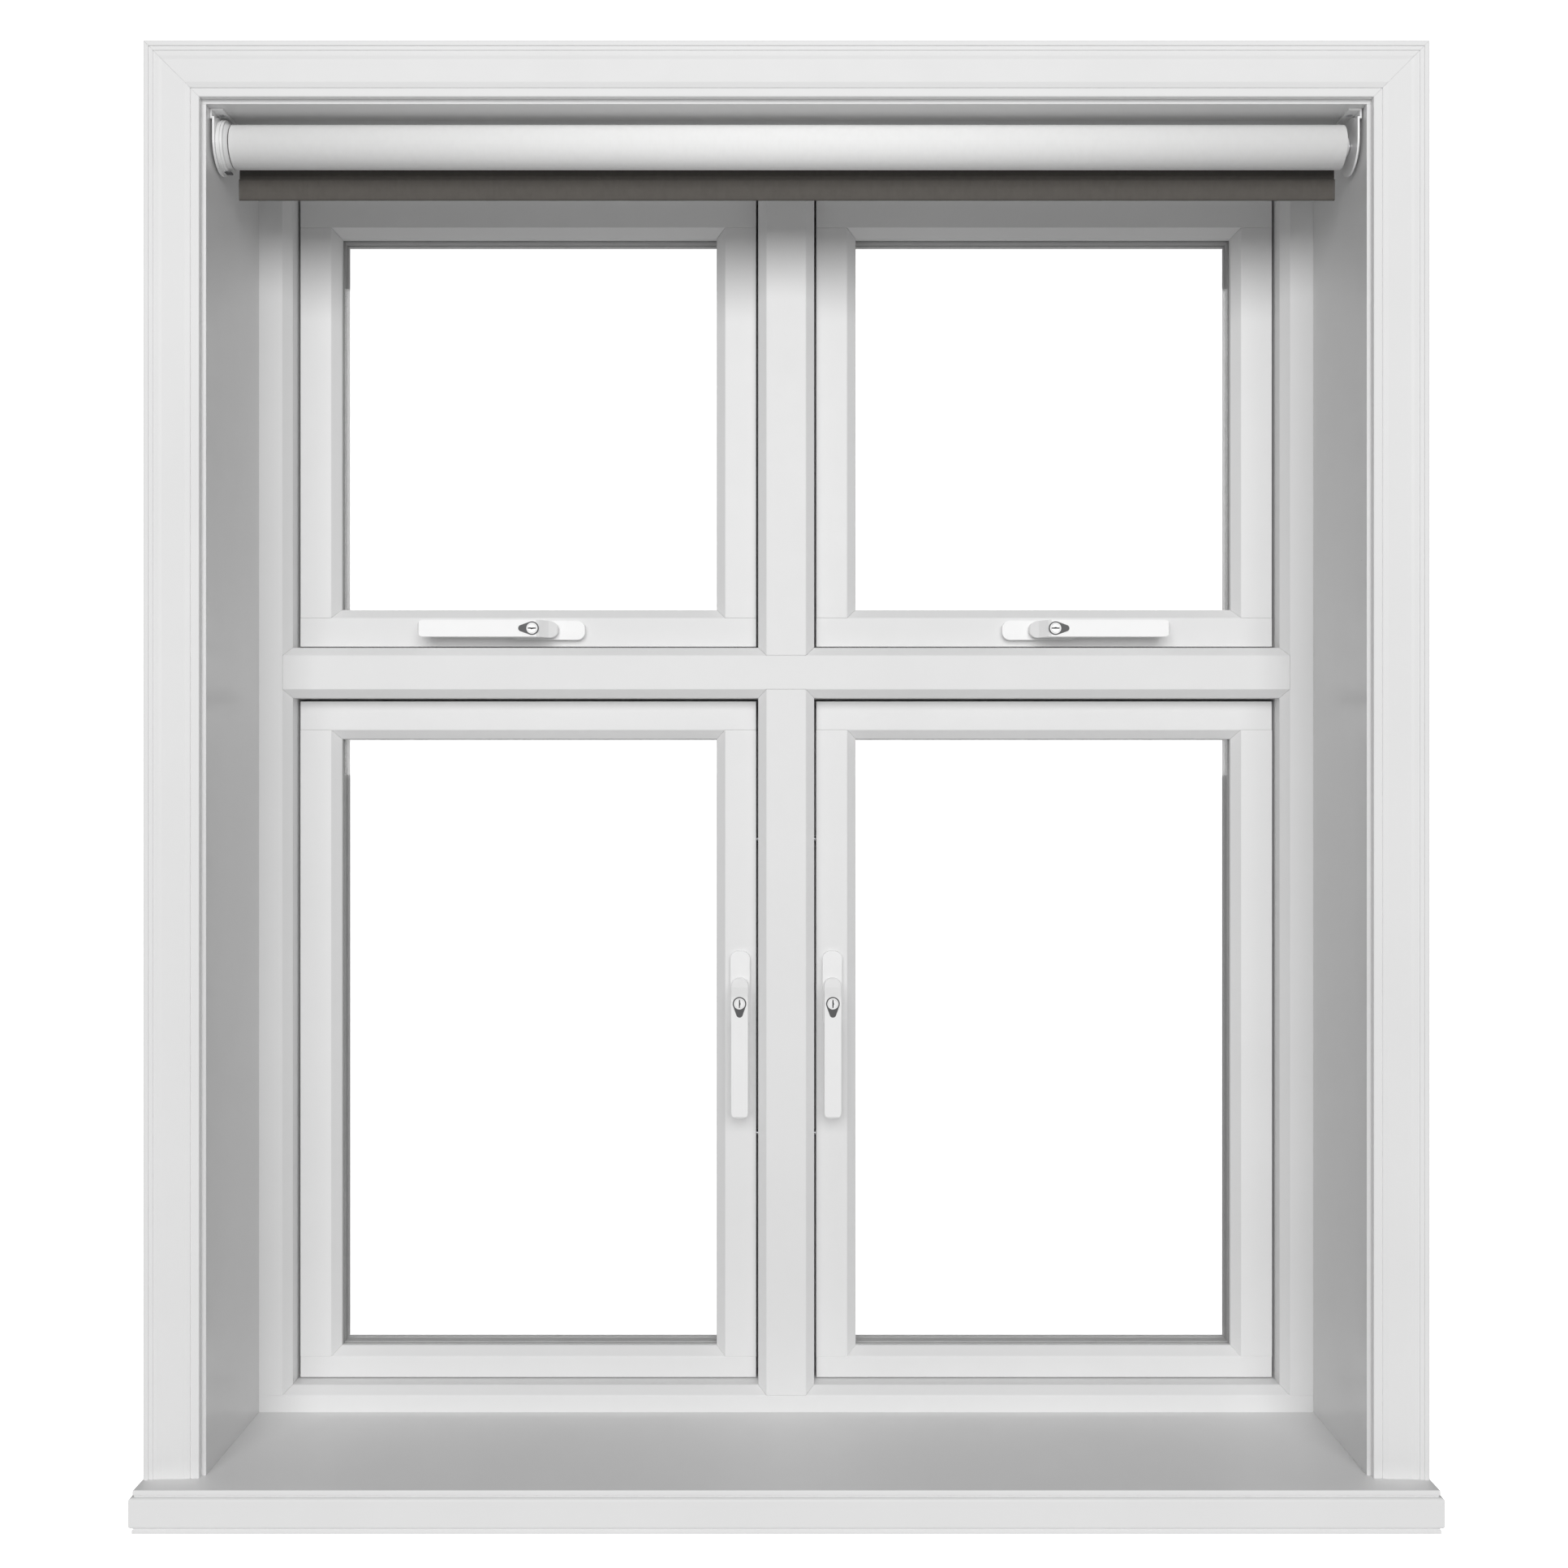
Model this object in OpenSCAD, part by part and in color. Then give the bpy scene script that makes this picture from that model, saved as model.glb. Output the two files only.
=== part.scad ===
// Casement window: a white timber window of four lights with its reveal linings,
// architrave, window board and roller blind.
// X runs to the right, Y to the outside and Z up. The origin is in the middle of the
// underside of the fixed frame.

/* [Frame] */
// Overall width of the fixed frame
frame_w = 1090; // [1000:10:1300]
// Overall height of the fixed frame
frame_h = 1285.8; // [1250:0.1:1500]
// Depth of the fixed frame, from its room face to its outer face
frame_d = 62; // [60:1:66]
// Width of a jamb
jamb_w = 51.3; // [48:0.1:58]
// Height of the head
head_h = 41.1; // [41:0.1:50]
// Height of the cill rail
cill_h = 49.8; // [46:0.1:60]
// Height of the middle of the transom above the underside
transom_z = 761.9; // [740:0.1:780]
// Height of the transom
transom_t = 50.4; // [46:0.1:60]
// Width of the mullions
mullion_w = 56; // [50:1:70]
// Chamfer round each opening of the frame
frame_chamfer = 8.3; // [5:0.1:10]
// How far the sub-cill stands out of the frame
sub_cill_out = 58; // [40:1:80]

/* [Sashes] */
// Gap between a sash and the frame
sash_gap = 2.4; // [2.2:0.1:2.6]
// Gap between a lower sash and the cill rail
cill_gap = 1; // [0.8:0.1:2]
// Thickness of a sash
sash_t = 57; // [56:1:60]
// How far the sash's room face lies behind the frame's
sash_setback = 27; // [26:1:28]
// Width of a stile
stile_w = 40.2; // [39:0.1:50]
// Height of a rail
rail_h = 38; // [37.8:0.1:48]
// Height of the bottom rail of a lower sash
low_rail_h = 30; // [26:0.1:38]
// Chamfer round the glass
sash_chamfer = 9; // [6:0.1:10]
// How far the lip covers the frame's outer face
lip_cover = 10; // [9:1:11]
// Thickness of a glazing pane
pane_t = 4; // [3:1:4]

/* [Handles and locks] */
// Distance from a sash's edge to its spindle
backset = 16; // [16:0.5:16.5]
// Distance from the middle of the window to the upper left spindle
upper_left_spindle = 240.6; // [200:0.1:280]
// Distance from the middle of the window to the upper right spindle
upper_right_spindle = 255.6; // [200:0.1:280]
// Height of the lower spindles
lower_spindle_z = 444.3; // [340:0.1:480]
// Length of the handle's base plate
plate_l = 76; // [66:1:84]
// Width of the handle's base plate
plate_w = 19.5; // [18:0.5:22]
// Width of the lever
lever_w = 16.7; // [15:0.1:18]
// Reach of the lever from its spindle
lever_reach = 126.5; // [100:0.5:140]
// Travel of the espagnolette rod
rod_travel = 16; // [15:0.5:16]
// Length of the faceplate on a sash's locking edge
faceplate_l = 380; // [340:10:400]

/* [Hinges] */
// Length of a hinge
hinge_l = 70; // [60:1:90]
// Radius of a hinge's knuckle
knuckle_r = 5; // [4:0.1:5]
// Distance from a sash's corner to the middle of its hinge
hinge_inset = 90; // [70:1:120]

/* [Linings, architrave and board] */
// Thickness of the linings
lining_t = 20; // [16:1:22]
// Depth of the reveal
lining_d = 165; // [120:1:260]
// Width of the architrave
arch_w = 49.3; // [48:0.1:60]
// Thickness of the window board
board_t = 25; // [20:1:30]
// How far the board's nose stands out of the wall
nose_out = 37; // [30:1:60]

/* [Blind] */
// Outer radius of the roll of fabric
roll_r = 20; // [18:0.5:24]
// Radius of the roller tube
tube_r = 15; // [12:0.5:16]
// Height of the hem's lower edge
hem_z = 1196.7; // [1150:0.1:1200]

/* [Hidden] */
$fn = 64;
e = 0.5;  // how far a cut runs past the face it opens
half_w = frame_w / 2;
y_room = -frame_d / 2;
y_out = frame_d / 2;
open_x = half_w - jamb_w;
mull_x = mullion_w / 2;
z_cill = cill_h;
z_tran0 = transom_z - transom_t / 2;
z_tran1 = transom_z + transom_t / 2;
z_head = frame_h - head_h;
fixing_r = 3.75;
fixing_y = 10;
fixing_z = [150, frame_h - 150];

// Sashes, in the left half: the right half is its mirror image.
sash_y = y_room + sash_setback;
sash_x0 = -open_x + sash_gap;
sash_x1 = -mull_x - sash_gap;
lip = lip_cover + sash_gap;
lip_d = y_out + 2 - sash_y;
bite = 9;
rebate_d = 15;
glass_d = [rebate_d + 0.3, rebate_d + 0.3 + pane_t, 32, 32 + pane_t];
bead_d = glass_d[3] + 0.2;
upper = [z_tran1 + sash_gap, z_head - sash_gap, rail_h];
lower = [z_cill + cill_gap, z_tran0 - sash_gap, low_rail_h];

// Lock set, drawn with X along the edge of the sash, Y its depth and Z into the sash.
pitch_r = rod_travel / (PI / 2);
teeth = 12;
tooth_pitch = 2 * PI * pitch_r / teeth;
tooth_h = 1.0;
case_d = [12, 28];
case_half = 32;
spindle_hole_r = 5.5;
rod_d = [15, 25];
rod_mid = 20;
rod_s = backset - pitch_r;
plate_t = 2;
case_s = [plate_t, 28.4];
cam_at = [-150, 150];
cam_stem_r = 3;
cam_head_r = 4.2;
cam_out = 7;
cam_room = 1.3;
keep_floor = 9;
lever_front = 32;
base_t = 8;
button_at = 12;
button_r = 5.6;
plug_r = 4.4;

// Hinges, drawn with X along the hinged edge, Y the sash's depth and Z into the sash.
axis_s = -19.7;
axis_d = 43;
leaf_t = 2;
knuckles = 5;

// Linings, architrave and board.
y_wall = y_room - lining_d;
lining_shows = 4;  // edge of the lining left in view inside the architrave
arch_x = half_w - lining_t + lining_shows;
lining_z1 = frame_h - lining_t;
arch_z = lining_z1 + lining_shows;
y_nose = y_wall - nose_out;
nose_half = arch_x + arch_w + 4.1;
nose_low = -8.5;
nose_foot = -13.5;

// Blind.
roll_y = y_wall + 36;
roll_z = lining_z1 - 26.6;
fabric_x = [-510.5, 513];
fabric_y = roll_y + roll_r + 0.4;
fabric_t = 0.6;
hem_t = 3.6;
hem_h = 20;
bracket_t = 1.8;
housing_x = -(half_w - lining_t) + 4;
bracket_right_x = half_w - lining_t - 5;

SASHES = ["upper_left", "upper_right", "lower_left", "lower_right"];
SASH_PARTS = ["rails", "stiles", "glazing_unit", "glazing_beads", "sash_hardware",
    "handle_base", "handle_lever", "lock_button", "key_plug", "espag_rod"];
FRAME_NODES = ["frame_head", "frame_cill", "sub_cill", "frame_jambs", "transom", "mullions",
    "lining_head", "lining_sides", "architrave_head", "architrave_legs", "window_board",
    "weather_seals", "frame_hinge_leaves", "lock_keeps"];
BLIND_NODES = ["blind_brackets", "blind_drive_housing", "blind_roller_tube",
    "blind_fabric_roll", "blind_fabric", "blind_hem_bar"];

// Prisms along each axis. The section is drawn in (y, z), (x, z) or (x, y).
module along_x(x0, x1) {
    translate([x0, 0, 0]) rotate([90, 0, 90]) linear_extrude(x1 - x0) children();
}
module along_y(y0, y1) {
    translate([0, y1, 0]) rotate([90, 0, 0]) linear_extrude(y1 - y0) children();
}
module along_z(z0, z1) {
    translate([0, 0, z0]) linear_extrude(z1 - z0) children();
}
module block(x, y, z) {
    translate([x[0], y[0], z[0]]) cube([x[1] - x[0], y[1] - y[0], z[1] - z[0]]);
}
// A rod along Y at (x, z), and a rod along X at (y, z).
module rod_y(r, x, z, y0, y1) {
    translate([x, y1, z]) rotate([90, 0, 0]) cylinder(r = r, h = y1 - y0);
}
module rod_x(r, y, z, x0, x1) {
    translate([x0, y, z]) rotate([0, 90, 0]) cylinder(r = r, h = x1 - x0);
}
module mirror_if(yes) {
    mirror([yes ? 1 : 0, 0, 0]) children();
}
module both_sides() {
    for (right = [false, true]) mirror_if(right) children();
}

// ---- Fixed frame: members are cut square, with mitres only through their chamfers ----
module head_outline(z, c, top) {
    polygon([[-half_w, top], [half_w, top], [half_w, z + c], [open_x + abs(c), z + c],
        [open_x, z], [mull_x, z], [mull_x - abs(c), z + c], [abs(c) - mull_x, z + c],
        [-mull_x, z], [-open_x, z], [-open_x - abs(c), z + c], [-half_w, z + c]]);
}
module edge_rail(z, c, top) {
    color("white") intersection() {
        along_x(-half_w, half_w)
            polygon([[y_room, top], [y_out, top], [y_out, z], [y_room + abs(c), z], [y_room, z + c]]);
        along_y(y_room, y_out) head_outline(z, c, top);
    }
}
module frame_head() {
    edge_rail(z_head, frame_chamfer, frame_h);
}
module frame_cill() {
    edge_rail(z_cill, -frame_chamfer, 0);
}
module sub_cill() {
    y1 = y_out + sub_cill_out;
    back_z = cill_h - 13;
    front_z = cill_h - 21;
    drip = 6;
    drip_back = 20;
    color("white") along_x(-half_w, half_w) difference() {
        polygon([[y_out, 0], [y_out, back_z], [y1 - 5, front_z], [y1, front_z - 5],
            [y1, 4], [y1 - 2, 2], [y1 - 8, 2], [y1 - 8, 0]]);
        translate([y1 - drip_back, -e]) square([drip, drip + e]);
    }
}
module jamb_outline() {
    c = frame_chamfer;
    polygon([[-half_w, z_cill - c], [-open_x - c, z_cill - c], [-open_x, z_cill],
        [-open_x, z_tran0], [-open_x - c, z_tran0 + c], [-open_x - c, z_tran1 - c],
        [-open_x, z_tran1], [-open_x, z_head], [-open_x - c, z_head + c], [-half_w, z_head + c]]);
}
module frame_jambs() {
    c = frame_chamfer;
    color("white") both_sides() difference() {
        intersection() {
            along_z(0, frame_h) polygon([[-half_w, y_out], [-half_w, y_room],
                [-open_x - c, y_room], [-open_x, y_room + c], [-open_x, y_out]]);
            along_y(y_room, y_out) jamb_outline();
        }
        for (z = fixing_z) rod_x(fixing_r, fixing_y, z, -half_w - e, e - open_x);
    }
}
module transom() {
    c = frame_chamfer;
    z0 = z_tran0;
    z1 = z_tran1;
    color("white") difference() {
        intersection() {
            along_x(-half_w, half_w) polygon([[y_out, z0], [y_out, z1], [y_room + c, z1],
                [y_room, z1 - c], [y_room, z0 + c], [y_room + c, z0]]);
            along_y(y_room, y_out) polygon([[-open_x, z1], [-open_x - c, z1 - c],
                [-open_x - c, z0 + c], [-open_x, z0], [-mull_x, z0], [c - mull_x, z0 + c],
                [mull_x - c, z0 + c], [mull_x, z0], [open_x, z0], [open_x + c, z0 + c],
                [open_x + c, z1 - c], [open_x, z1], [mull_x, z1], [mull_x - c, z1 - c],
                [c - mull_x, z1 - c], [-mull_x, z1]]);
        }
        for (i = [0, 1]) place_lock(i) keep_pockets();
    }
}
module mullion(z0, z1) {
    c = frame_chamfer;
    intersection() {
        along_z(z0 - c, z1 + c) polygon([[-mull_x, y_out], [mull_x, y_out], [mull_x, y_room + c],
            [mull_x - c, y_room], [c - mull_x, y_room], [-mull_x, y_room + c]]);
        along_y(y_room, y_out) polygon([[-mull_x, z0], [c - mull_x, z0 - c], [mull_x - c, z0 - c],
            [mull_x, z0], [mull_x, z1], [mull_x - c, z1 + c], [c - mull_x, z1 + c], [-mull_x, z1]]);
    }
}
module mullions() {
    color("white") {
        mullion(z_tran1, z_head);
        difference() {
            mullion(z_cill, z_tran0);
            for (i = [2, 3]) place_lock(i) keep_pockets();
        }
    }
}

// ---- Linings, architrave and window board ----
module lining_head() {
    color("gainsboro") block([-half_w, half_w], [y_wall, y_room], [lining_z1, frame_h]);
}
module lining_sides() {
    color("gainsboro") both_sides()
        block([-half_w, lining_t - half_w], [y_wall, y_room], [board_t, lining_z1]);
}
// The architrave's face, as distance from its inner edge and thickness.
module architrave_section() {
    w = arch_w;
    polygon([[0, 0], [0, 6.4], [0.6, 7], [7.4, 7], [7.4, 6.2], [8.1, 6.2], [8.1, 7.1],
        [12.8, 8.5], [w - 16, 8.5], [w - 13.1, 9.2], [w - 8.6, 9.2], [w - 8.6, 10],
        [w - 4.9, 10], [w - 4.7, 11], [w - 1, 11], [w - 0.3, 10.7], [w, 10], [w, 0]]);
}
module architrave_head() {
    color("white") intersection() {
        along_x(-arch_x - arch_w, arch_x + arch_w)
            multmatrix([[0, -1, 0, y_wall], [1, 0, 0, arch_z], [0, 0, 1, 0]]) architrave_section();
        along_y(y_wall - 20, y_wall) polygon([[-arch_x, arch_z], [arch_x, arch_z],
            [arch_x + arch_w, arch_z + arch_w], [-arch_x - arch_w, arch_z + arch_w]]);
    }
}
module architrave_legs() {
    color("white") both_sides() intersection() {
        along_z(board_t, arch_z + arch_w)
            translate([-arch_x, y_wall]) rotate(180) architrave_section();
        along_y(y_wall - 20, y_wall) polygon([[-arch_x, board_t], [-arch_x, arch_z],
            [-arch_x - arch_w, arch_z + arch_w], [-arch_x - arch_w, board_t]]);
    }
}
// The nose's edge, as setback from its furthest face and height: a small step below, the
// rounded main face and a fillet set back above it.
function nose_edge() = let (r = 3, step_z = board_t - 6, fillet = 1) concat(
    [[12, nose_foot], [2.4, nose_foot], [2.4, nose_foot + 2.9], [3.4, nose_foot + 3.5]],
    [for (a = [0:15:90]) [r - r * sin(a), nose_low + r - r * cos(a)]],
    [for (a = [0:15:90]) [r - r * cos(a), step_z - r + r * sin(a)]],
    [[4, step_z], [4, step_z + 1], [3, step_z + 1.6]],
    [for (a = [0:30:90]) [3 + fillet - fillet * cos(a), board_t - fillet + fillet * sin(a)]]);
module window_board() {
    edge = nose_edge();
    n = len(edge);
    front = concat([for (p = edge) [y_nose + p[0], p[1]]], [[y_wall, board_t], [y_wall, nose_foot]]);
    ends = concat([for (p = edge) [nose_half - p[0], p[1]]],
        [for (i = [n - 1:-1:0]) [edge[i][0] - nose_half, edge[i][1]]]);
    color("white") {
        intersection() {
            along_x(-nose_half, nose_half) polygon(front);
            along_y(y_nose, y_wall) polygon(ends);
        }
        block([-half_w, half_w], [y_wall - 1, y_room], [0, board_t]);
    }
}

// ---- Seals, hinges and keeps on the fixed frame ----
module seal_ring(x0, x1, z0, z1) {
    near = 7.2;
    far = 9.7;
    along_y(y_out, y_out + 1.7) difference() {
        translate([x0 - far, z0 - far]) square([x1 - x0 + 2 * far, z1 - z0 + 2 * far]);
        translate([x0 - near, z0 - near]) square([x1 - x0 + 2 * near, z1 - z0 + 2 * near]);
    }
}
module weather_seals() {
    color("dimgray") both_sides() {
        seal_ring(-open_x, -mull_x, z_tran1, z_head);
        seal_ring(-open_x, -mull_x, z_cill, z_tran0);
    }
}
function segment(i) = -hinge_l / 2 + i * hinge_l / knuckles;
module knuckle(i) {
    rod_x(knuckle_r, axis_d, axis_s, segment(i) + 0.15, segment(i + 1) - 0.15);
}
module hinge_frame_leaf() {
    u = hinge_l / 2;
    pin_r = knuckle_r / 2;
    face_d = y_out - sash_y;
    block([-u, u], [face_d, face_d + leaf_t], [axis_s - 22, axis_s]);
    rod_x(pin_r, axis_d, axis_s, -u + 1, u - 1);
    for (i = [0:2:knuckles - 1]) {
        knuckle(i);
        block([segment(i) + 0.15, segment(i + 1) - 0.15], [face_d, axis_d],
            [axis_s - knuckle_r, axis_s]);
    }
}
module hinge_sash_leaf() {
    u = hinge_l / 2;
    pin_r = knuckle_r / 2 + 0.05;
    difference() {
        union() {
            block([-u, u], [sash_t, sash_t + leaf_t], [-lip - leaf_t, 24]);
            block([-u, u], [axis_d - 2, sash_t + 1], [-lip - leaf_t, -lip]);
            for (i = [1:2:knuckles - 2]) {
                knuckle(i);
                block([segment(i) + 0.15, segment(i + 1) - 0.15], [axis_d, axis_d + knuckle_r],
                    [axis_s, -lip]);
            }
        }
        rod_x(pin_r, axis_d, axis_s, -u, u);
    }
}
// The two hinges of sash i: along the top of an upper sash, up the outer edge of a lower one.
module place_hinges(i) {
    mirror_if(i % 2 == 1)
        if (i < 2) for (x = [sash_x0 + hinge_inset, sash_x1 - hinge_inset])
            translate([x, sash_y, upper[1]]) mirror([0, 0, 1]) children();
        else for (z = [lower[0] + hinge_inset, lower[1] - hinge_inset])
            translate([sash_x0, sash_y, z]) rotate([0, 90, 0]) children();
}
module frame_hinge_leaves() {
    color("silver") for (i = [0:3]) place_hinges(i) hinge_frame_leaf();
}
function keep_span(u) = [u - rod_travel - cam_head_r - 1.5, u + cam_head_r + 1.5];
module keep_pockets() {
    for (u = cam_at) block(keep_span(u), [rod_mid - cam_head_r - cam_room, y_out - sash_y + e],
        [-keep_floor, e - sash_gap]);
}
module keep() {
    d0 = rod_mid - cam_head_r - cam_room;
    for (u = cam_at) {
        block(keep_span(u), [d0, y_out - sash_y], [-keep_floor, -keep_floor + 0.8]);
        block(keep_span(u), [d0, d0 + 0.8], [-keep_floor, -sash_gap - 0.4]);
    }
}
module lock_keeps() {
    color("silver") for (i = [0:3]) place_lock(i) keep();
}

// ---- Roller blind ----
module bracket(x, side) {
    reach = 26;
    joggle_z = lining_z1 - 9;
    out = x + side * 2;
    flange = side > 0 ? [out + bracket_t - 12, out + bracket_t] : [out, out + 12];
    block([x, x + bracket_t], [roll_y - reach, roll_y + reach], [roll_z, joggle_z + bracket_t]);
    rod_x(reach, roll_y, roll_z, x, x + bracket_t);
    block([min(x, out), max(x, out) + bracket_t], [roll_y - reach, roll_y + reach],
        [joggle_z, joggle_z + bracket_t]);
    block([out, out + bracket_t], [roll_y - reach, roll_y + reach], [joggle_z, lining_z1]);
    block(flange, [roll_y - reach, roll_y + reach], [lining_z1 - bracket_t, lining_z1]);
}
module blind_brackets() {
    color("lightgray") {
        bracket(housing_x - bracket_t, -1);
        bracket(bracket_right_x, 1);
    }
}
module blind_drive_housing() {
    disc_r = 23.5;
    hub_r = 12.5;
    disc_t = 6.3;
    hub_l = 45;
    color("whitesmoke") translate([housing_x, roll_y, roll_z]) rotate([0, 90, 0]) {
        cylinder(r = disc_r, h = disc_t);
        translate([0, 0, disc_t]) cylinder(r1 = disc_r - 1.5, r2 = disc_r - 4.5, h = 3.5);
        cylinder(r = hub_r, h = hub_l);
    }
}
module blind_roller_tube() {
    wall = 1.5;
    idle_pin_r = 5.5;
    x0 = fabric_x[0] + 0.3;
    x1 = fabric_x[1] + 0.8;
    color("silver") {
        difference() {
            rod_x(tube_r, roll_y, roll_z, x0, x1);
            rod_x(tube_r - wall, roll_y, roll_z, x0 - e, x1 - 4);
        }
        rod_x(idle_pin_r, roll_y, roll_z, x1 - 1, bracket_right_x - 0.3);
    }
}
module blind_fabric_roll() {
    color("white") difference() {
        rod_x(roll_r, roll_y, roll_z, fabric_x[0] + 0.4, fabric_x[1]);
        rod_x(tube_r, roll_y, roll_z, fabric_x[0], fabric_x[1] + e);
    }
}
module blind_fabric() {
    color("dimgray") block(fabric_x - [1.2, 0.3], [fabric_y, fabric_y + fabric_t],
        [hem_z + hem_h, roll_z]);
}
module blind_hem_bar() {
    y = fabric_y + fabric_t / 2;
    color("dimgray") along_x(fabric_x[0] - 1.2, fabric_x[1] - 0.3) {
        translate([y - hem_t / 2, hem_z + hem_t / 2]) square([hem_t, hem_h - hem_t]);
        translate([y, hem_z + hem_t / 2]) circle(r = hem_t / 2);
        translate([y, hem_z + hem_h - hem_t / 2]) circle(r = hem_t / 2);
    }
}

// ---- Sash: rails run the full width, and the stiles stand between them ----
function span(i) = i < 2 ? upper : lower;
// A member's section, as distance from the sash's edge and depth behind its room face.
function member_section(w) = [[0, 0], [w - sash_chamfer, 0], [w, sash_chamfer], [w, rebate_d],
    [w - bite, rebate_d], [w - bite, sash_t], [-lip + 2, sash_t], [-lip, sash_t - 2],
    [-lip, lip_d], [0, lip_d]];
module rail(i, top) {
    z = top ? span(i)[1] : span(i)[0];
    w = top ? rail_h : span(i)[2];
    dir = top ? -1 : 1;
    c = sash_chamfer;
    x0 = sash_x0;
    x1 = sash_x1;
    intersection() {
        along_x(x0 - lip, x1 + lip)
            polygon([for (p = member_section(w)) [sash_y + p[1], z + dir * p[0]]]);
        along_y(sash_y, sash_y + sash_t) polygon([for (p = [[x0 - lip, -lip], [x1 + lip, -lip],
            [x1 + lip, w - c], [x1 - stile_w + c, w - c], [x1 - stile_w, w], [x0 + stile_w, w],
            [x0 + stile_w - c, w - c], [x0 - lip, w - c]]) [p[0], z + dir * p[1]]]);
        along_z(span(i)[0] - lip, span(i)[1] + lip) translate([0, sash_y]) {
            translate([x0, 0]) square([x1 - x0, sash_t]);
            translate([x0 - lip, lip_d]) square([x1 - x0 + 2 * lip, sash_t - lip_d]);
        }
    }
}
module stile(i, inner) {
    x = inner ? sash_x1 : sash_x0;
    dir = inner ? -1 : 1;
    z0 = span(i)[0] + span(i)[2];
    z1 = span(i)[1] - rail_h;
    w = stile_w;
    c = sash_chamfer;
    intersection() {
        along_z(z0 - c, z1 + c)
            polygon([for (p = member_section(w)) [x + dir * p[0], sash_y + p[1]]]);
        along_y(sash_y, sash_y + sash_t) polygon([for (p = [[-lip, z0 - c], [w - c, z0 - c],
            [w, z0], [w, z1], [w - c, z1 + c], [-lip, z1 + c]]) [x + dir * p[0], p[1]]]);
    }
}
module rails(i) {
    color("white") difference() {
        mirror_if(i % 2 == 1) {
            rail(i, true);
            rail(i, false);
        }
        if (i < 2) place_lock(i) lock_pocket();
    }
}
module stiles(i) {
    color("white") difference() {
        mirror_if(i % 2 == 1) {
            stile(i, false);
            stile(i, true);
        }
        if (i > 1) place_lock(i) lock_pocket();
    }
}
// A rectangle that lies back from the sight lines of sash i by a margin, seen from the room.
module daylight(i, margin) {
    x0 = sash_x0 + stile_w - margin;
    z0 = span(i)[0] + span(i)[2] - margin;
    translate([x0, z0])
        square([sash_x1 - stile_w + margin - x0, span(i)[1] - rail_h + margin - z0]);
}
module glazing_unit(i) {
    edge = bite - 0.5;
    gap = 0.1;
    d = [for (x = glass_d) sash_y + x];
    color("lightcyan", 0.35) mirror_if(i % 2 == 1) {
        along_y(d[0], d[1]) daylight(i, edge);
        along_y(d[2], d[3]) daylight(i, edge);
        along_y(d[1] + gap, d[2] - gap) difference() {
            daylight(i, edge);
            daylight(i, -0.5);
        }
    }
}
module bead(x0, x1, z, dir) {
    y = sash_y + bead_d;
    t = sash_t - bead_d;
    along_x(x0, x1) polygon([[y, z], [y, z + dir * bite], [y + 7, z + dir * bite],
        [y + t, z + dir], [y + t, z]]);
}
module glazing_beads(i) {
    x0 = sash_x0 + stile_w - bite;
    x1 = sash_x1 - stile_w + bite;
    z0 = span(i)[0] + span(i)[2] - bite;
    z1 = span(i)[1] - rail_h + bite;
    joint = 0.2;
    color("white") mirror_if(i % 2 == 1) {
        bead(x0, x1, z0, 1);
        bead(x0, x1, z1, -1);
        translate([x0, 0, z0 + bite + joint]) rotate([0, -90, 0]) mirror([0, 0, 1])
            upright_bead(z1 - z0 - 2 * (bite + joint));
        translate([x1, 0, z0 + bite + joint]) mirror([1, 0, 0]) rotate([0, -90, 0])
            mirror([0, 0, 1]) upright_bead(z1 - z0 - 2 * (bite + joint));
    }
}
module upright_bead(l) {
    bead(0, l, 0, 1);
}

// ---- Lock set of one sash ----
function lock_x(i) = i == 0 ? upper_left_spindle : upper_right_spindle;
module place_lock(i) {
    mirror_if(i % 2 == 1)
        if (i < 2) translate([-lock_x(i), sash_y, upper[0]]) children();
        else translate([sash_x1, sash_y, lower_spindle_z]) rotate([0, -90, 0]) children();
}
module lock_pocket() {
    block([-faceplate_l / 2, faceplate_l / 2], case_d, [-e, plate_t]);
    block([-case_half, case_half], case_d, case_s);
    block([-faceplate_l / 2 + 5, faceplate_l / 2 - 5], rod_d + [-0.3, 0.3], [plate_t - e, rod_s + 1.5]);
    rod_y(spindle_hole_r, 0, backset, -e, case_d[0] + e);
}
module sash_hardware(i) {
    tip_r = pitch_r + tooth_h;
    color("silver") {
        place_lock(i) difference() {
            union() {
                block([-faceplate_l / 2, faceplate_l / 2], case_d, [0, plate_t]);
                block([-case_half, case_half], case_d, case_s);
            }
            rod_y(tip_r + 0.4, 0, backset, case_d[0] + 1.5, case_d[1] - 1.5);
            rod_y(spindle_hole_r, 0, backset, case_d[0] - e, case_d[1] + e);
            block([-case_half - e, case_half + e], rod_d + [-0.3, 0.3], [plate_t, rod_s + 1.5]);
            for (u = cam_at) block([u - rod_travel - cam_stem_r - 0.5, u + cam_stem_r + 0.5],
                [rod_mid - cam_stem_r - 0.5, rod_mid + cam_stem_r + 0.5], [-e, plate_t + e]);
        }
        place_hinges(i) hinge_sash_leaf();
    }
}
// Base plate with rounded corners and a round hole for the lever's neck.
module handle_base(i) {
    end_r = 7.8;
    color("white") place_lock(i) translate([0, 0, backset]) difference() {
        along_y(-base_t, 0) difference() {
            union() {
                square([plate_l - 2 * end_r, plate_w], center = true);
                square([plate_l, plate_w - 2 * end_r], center = true);
                for (x = [-1, 1], z = [-1, 1])
                    translate([x * (plate_l / 2 - end_r), z * (plate_w / 2 - end_r)]) circle(r = end_r);
            }
        }
        rod_y(8.3, 0, 0, -base_t - e, e);
    }
}
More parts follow.
